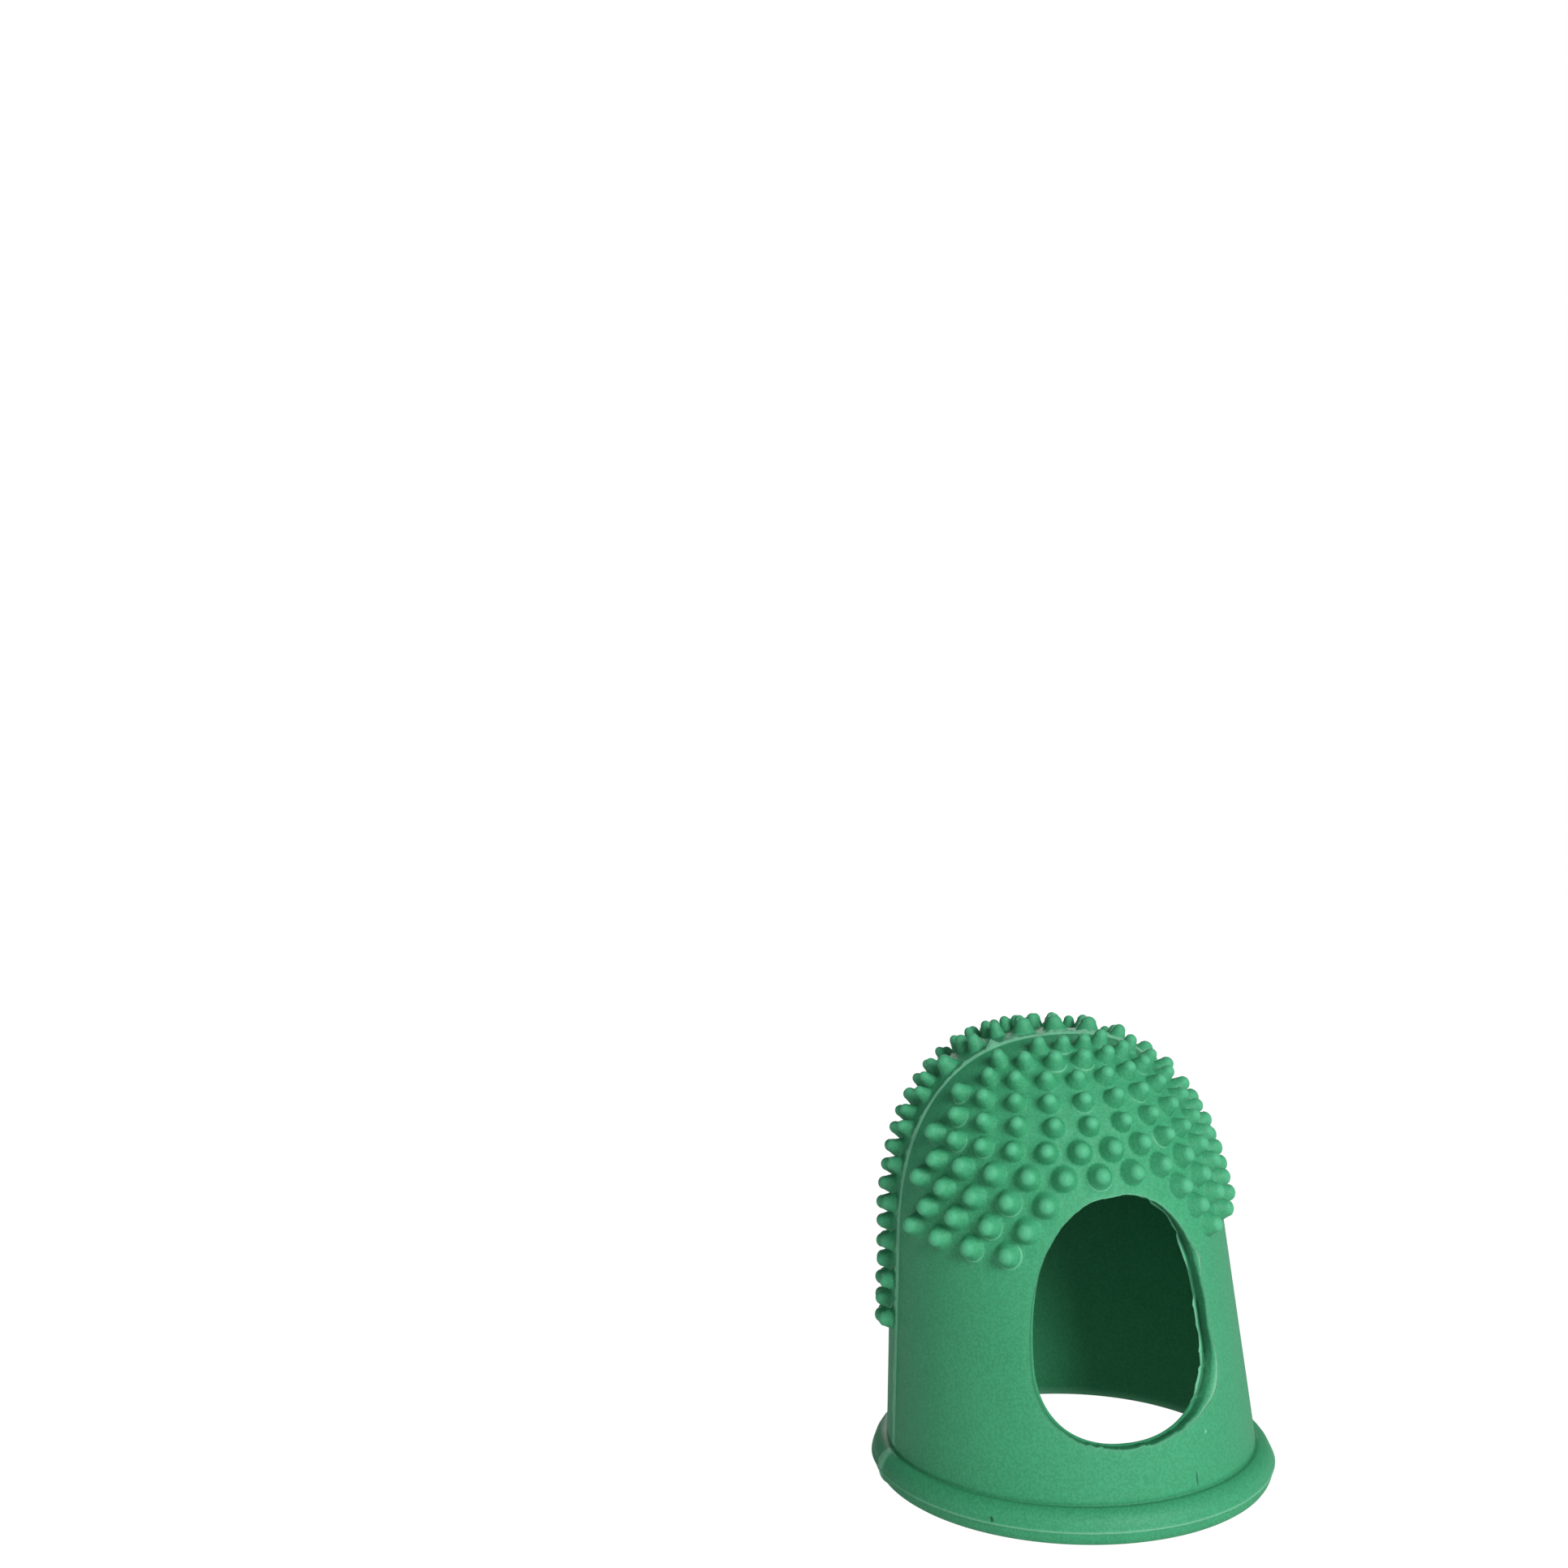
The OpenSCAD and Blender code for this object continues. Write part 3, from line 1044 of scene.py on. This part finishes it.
# %% Small marks
def soft_mark():
    """Group: place, middle and reach -> a mask that is 1 at the middle and 0 beyond the reach."""
    group = new_group(
        "soft mark",
        inputs=[(label, "NodeSocketVector") for label in ("Place", "Middle", "Reach")],
        outputs=["Mask"],
    )
    nodes, links = group.nodes, group.links
    source = nodes.new("NodeGroupInput")
    result = nodes.new("NodeGroupOutput")
    away = vector_node(nodes, "SUBTRACT")
    scaled = vector_node(nodes, "DIVIDE")
    far_off = vector_node(nodes, "LENGTH")
    fade = nodes.new("ShaderNodeMapRange")
    fade.interpolation_type = "SMOOTHSTEP"
    set_sockets(fade, From_Min=1.0, From_Max=0.3, To_Min=0.0, To_Max=1.0)
    links.new(source.outputs["Place"], away.inputs[0])
    links.new(source.outputs["Middle"], away.inputs[1])
    links.new(away.outputs["Vector"], scaled.inputs[0])
    links.new(source.outputs["Reach"], scaled.inputs[1])
    links.new(scaled.outputs["Vector"], far_off.inputs[0])
    links.new(far_off.outputs["Value"], fade.inputs["Value"])
    links.new(fade.outputs["Result"], result.inputs["Mask"])
    return group


mark_group = soft_mark()
print("nodes in a mark:", len(mark_group.nodes))

# %% [markdown]
# ## The rubber itself
# Natural rubber is matt with a soft broad highlight. Its colour is a mid green, a shade darker in
# the clouds. Where it is as thin as a film, on the fin, the flash and the window's lips, it gets
# painted light, a paler green that stands in for the light that gets through, and the bevel inside
# the mouth gets painted light that stands in for light thrown up from the floor. The ends of the
# pimples are paler too, partly for wear and partly as painted light. The creases, the cut face of
# the window and the inside towards the tip get painted shade. The factor of a colour mix stops at
# zero, so the one number of painted light and shade serves both the pale and the dark mix.

# %% The rubber itself
rubber = bpy.data.materials.new("green_rubber")
rubber.use_nodes = True
nodes, links = rubber.node_tree.nodes, rubber.node_tree.links
shader = nodes["Principled BSDF"]
set_sockets(shader, Roughness=0.55, Specular_IOR_Level=0.27)

place = nodes.new("ShaderNodeTexCoord")
grain = nodes.new("ShaderNodeGroup")
grain.node_tree = grain_group
links.new(place.outputs["Object"], grain.inputs["Place"])


def blend(factor, low, high):
    """A colour mix; `low` is a colour or the mix before it, and `factor` drives it."""
    mix = nodes.new("ShaderNodeMix")
    mix.data_type = "RGBA"
    mix.inputs["B"].default_value = (*high, 1)
    if isinstance(low, tuple):
        mix.inputs["A"].default_value = (*low, 1)
    else:
        links.new(low.outputs["Result"], mix.inputs["A"])
    links.new(factor, mix.inputs["Factor"])
    return mix


def share_of(value, share):
    """A value times a constant share."""
    times = math_node(nodes, "MULTIPLY")
    times.inputs[1].default_value = share
    links.new(value, times.inputs[0])
    return times.outputs[0]


def attribute_value(name):
    """The value that the mesh carries under this name."""
    node = nodes.new("ShaderNodeAttribute")
    node.attribute_name = name
    return node.outputs["Fac"]


cloud_green = (0.04, 0.29, 0.132)
clear_green = (0.052, 0.35, 0.163)
speck_green = (0.1, 0.6, 0.33)
# Green of the ends of the pimples, paler partly for wear and partly as painted light.
rubbed_and_lit_green = (0.12, 0.56, 0.3)
# Green of painted light, and dark green of painted shade.
painted_light_green = (0.26, 0.66, 0.43)
painted_shade_green = (0.012, 0.11, 0.05)
rubbed_and_lit = attribute_value("proud")
light_shade_value = attribute_value("light_shade")
colour = blend(grain.outputs["Clouds"], cloud_green, clear_green)
colour = blend(share_of(grain.outputs["Specks"], 0.2), colour, speck_green)
# The ends of the pimples: partly wear, partly painted light.
colour = blend(share_of(rubbed_and_lit, 0.6), colour, rubbed_and_lit_green)
# Above zero this value paints light, below zero it paints shade.
colour = blend(share_of(light_shade_value, 0.9), colour, painted_light_green)
colour = blend(share_of(light_shade_value, -0.9), colour, painted_shade_green)
print("nodes in the rubber so far:", len(nodes))

# %% [markdown]
# The marks are laid over the colour. A mark's middle is given by its angle round the cap in
# degrees, its radius and its height, and then come its reach, how strong it is, and its colour.

# %% Marks on the rubber
hair_crack = (16.2, 11.0, 2.4, (0.09, 0.5, 0.5), 0.75, (0.012, 0.09, 0.045))
dark_speck = (-43.2, 11.9, 1.0, (0.12, 0.3, 0.22), 0.8, (0.01, 0.06, 0.035))
pale_speck = (21.8, 10.85, 4.6, (0.12, 0.3, 0.14), 0.5, (0.3, 0.7, 0.5))
for turned, radius, height, reach, strength, shade in (hair_crack, dark_speck, pale_speck):
    mark = nodes.new("ShaderNodeGroup")
    mark.node_tree = mark_group
    q = math.radians(turned)
    middle = (radius * math.sin(q) * MM, -radius * math.cos(q) * MM, height * MM)
    set_sockets(mark, Middle=middle, Reach=tuple(r * MM for r in reach))
    links.new(place.outputs["Object"], mark.inputs["Place"])
    colour = blend(share_of(mark.outputs["Mask"], strength), colour, shade)
links.new(colour.outputs["Result"], shader.inputs["Base Color"])
print("nodes in the rubber with its marks:", len(nodes))

# %% [markdown]
# Last comes the grain as a bump, a few hundredths of a millimetre deep, and the material goes on
# the mesh.

# %% The grain as a bump
grain_depth = 0.03 * MM
bump = nodes.new("ShaderNodeBump")
set_sockets(bump, Strength=0.7, Distance=grain_depth)
links.new(grain.outputs["Grain"], bump.inputs["Height"])
links.new(bump.outputs["Normal"], shader.inputs["Normal"])
mesh.materials.append(rubber)
print("materials on the cap:", [m.name for m in mesh.materials])

# %% [markdown]
# ## The floor
# The cap stands on a white sheet that is large enough to have no visible edge. The photograph's
# white is burnt out, so for the camera the sheet glows, and only a faint shadow is left on it. Away
# from the cap it also gives a little light of its own, which reaches the undersides of the pimples
# as a well lit table would.

# %% The sheet
far = 1.5
corners = [(-far, -far, 0), (far, -far, 0), (far, far, 0), (-far, far, 0)]
floor_mesh = bpy.data.meshes.new("floor_sheet")
floor_mesh.from_pydata(corners, [], [(0, 1, 2, 3)])
floor = bpy.data.objects.new("floor_sheet", floor_mesh)
bpy.context.scene.collection.objects.link(floor)
print("the sheet is", 2 * far, "m wide")

# %% [markdown]
# Its material mixes plain paper with a glow. The share of the glow is the larger of two: one for
# rays from the camera, and one that grows with the distance from the cap.

# %% Paper and glow
white = (1, 1, 1, 1)
paper_white = (0.86, 0.86, 0.86, 1)
paper = bpy.data.materials.new("white_floor")
paper.use_nodes = True
paper_nodes, paper_links = paper.node_tree.nodes, paper.node_tree.links
sheet = paper_nodes["Principled BSDF"]
set_sockets(sheet, Base_Color=paper_white, Roughness=0.9)
glow = paper_nodes.new("ShaderNodeEmission")
set_sockets(glow, Color=white, Strength=1.06)
burnt = paper_nodes.new("ShaderNodeMixShader")
seen = paper_nodes.new("ShaderNodeLightPath")
spot_on_sheet = paper_nodes.new("ShaderNodeTexCoord")
from_cap = vector_node(paper_nodes, "LENGTH")
open_sheet = paper_nodes.new("ShaderNodeMapRange")
set_sockets(open_sheet, From_Min=0.012, From_Max=0.04, To_Min=0.12, To_Max=0.3)
amount = math_node(paper_nodes, "MAXIMUM")
camera_share = math_node(paper_nodes, "MULTIPLY")
camera_share.inputs[1].default_value = 0.95
paper_links.new(spot_on_sheet.outputs["Object"], from_cap.inputs[0])
paper_links.new(from_cap.outputs["Value"], open_sheet.inputs["Value"])
paper_links.new(seen.outputs["Is Camera Ray"], camera_share.inputs[0])
paper_links.new(camera_share.outputs[0], amount.inputs[0])
paper_links.new(open_sheet.outputs["Result"], amount.inputs[1])
paper_links.new(amount.outputs[0], burnt.inputs["Fac"])
paper_links.new(sheet.outputs["BSDF"], burnt.inputs[1])
paper_links.new(glow.outputs["Emission"], burnt.inputs[2])
paper_links.new(burnt.outputs["Shader"], paper_nodes["Material Output"].inputs["Surface"])
floor_mesh.materials.append(paper)
print("material of the sheet:", paper.name)

# %% [markdown]
# ## The light
# The photograph has one large soft light, low in front of the cap and to the right of the camera,
# and pale surroundings that fill the shade. A square light a few caps wide gives the same soft
# falloff on each pimple. A weak one at the left lifts the far side and another one lights the back.
# The camera doesn't see any of them.

# %% The light
light_distance = 0.35
light_size = 0.16
aim_z = 0.012


def soft_light(name, heading, height, power):
    """A square light that looks at the cap from `heading` degrees round and `height` degrees up."""
    lamp = bpy.data.lights.new(name, "AREA")
    lamp.size = light_size
    lamp.energy = power
    holder = bpy.data.objects.new(name, lamp)
    turn_by, rise = math.radians(heading), math.radians(height)
    flat = light_distance * math.cos(rise)
    lift = aim_z + light_distance * math.sin(rise)
    holder.location = (flat * math.sin(turn_by), -flat * math.cos(turn_by), lift)
    holder.rotation_euler = (math.pi / 2 - rise, 0, turn_by)
    holder.visible_camera = False
    bpy.context.scene.collection.objects.link(holder)


soft_light("key_light", heading=13, height=24, power=1.04)
soft_light("side_light", heading=-85, height=15, power=0.07)
soft_light("back_light", heading=165, height=14, power=0.42)

# %% [markdown]
# The air around is brighter in front of the cap than behind it, as in a studio with its pale walls
# in front. It is pure white where the camera looks into it.

# %% The air
world = bpy.data.worlds.new("studio_air")
world.use_nodes = True
air_nodes, air_links = world.node_tree.nodes, world.node_tree.links
dim = air_nodes["Background"]
set_sockets(dim, Color=white)
towards = air_nodes.new("ShaderNodeTexCoord")
facing = vector_node(air_nodes, "DOT_PRODUCT")
facing.inputs[1].default_value = (0.2, -0.98, 0.0)
power = air_nodes.new("ShaderNodeMapRange")
set_sockets(power, From_Min=-0.6, From_Max=1.0, To_Min=0.06, To_Max=0.24)
air_links.new(towards.outputs["Generated"], facing.inputs[0])
air_links.new(facing.outputs["Value"], power.inputs["Value"])
air_links.new(power.outputs["Result"], dim.inputs["Strength"])
bright = air_nodes.new("ShaderNodeBackground")
set_sockets(bright, Color=white, Strength=1.0)
choose = air_nodes.new("ShaderNodeMixShader")
ray = air_nodes.new("ShaderNodeLightPath")
air_links.new(ray.outputs["Is Camera Ray"], choose.inputs["Fac"])
air_links.new(dim.outputs["Background"], choose.inputs[1])
air_links.new(bright.outputs["Background"], choose.inputs[2])
air_links.new(choose.outputs["Shader"], air_nodes["World Output"].inputs["Surface"])
bpy.context.scene.world = world
bpy.context.scene.view_settings.view_transform = "Standard"
print("world:", world.name)

# %% [markdown]
# ## The camera
# The photograph was taken close, with a wide lens, and the cap is low and to the right in it. That
# is why its wall seems to lean and its rim is a tilted ellipse. The place and the three turns below
# come from fitting a camera to the outline of the rim and the wall.

# %% The camera
lens = bpy.data.cameras.new("photo_camera")
lens.lens = 31.0
lens.sensor_width = 36.0
lens.clip_start = 0.005
camera = bpy.data.objects.new("photo_camera", lens)
distance, height, heading = 0.0878, 0.0344, math.radians(-22.2)
camera.location = (distance * math.sin(heading), -distance * math.cos(heading), height)
camera.rotation_euler = [math.radians(degrees) for degrees in (95.195, 2.587, -11.749)]
bpy.context.scene.collection.objects.link(camera)
bpy.context.scene.camera = camera
print("camera at, m:", [round(value, 4) for value in camera.location])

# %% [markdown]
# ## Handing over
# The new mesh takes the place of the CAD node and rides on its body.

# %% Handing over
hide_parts("finger_tip")
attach(cap, "root")
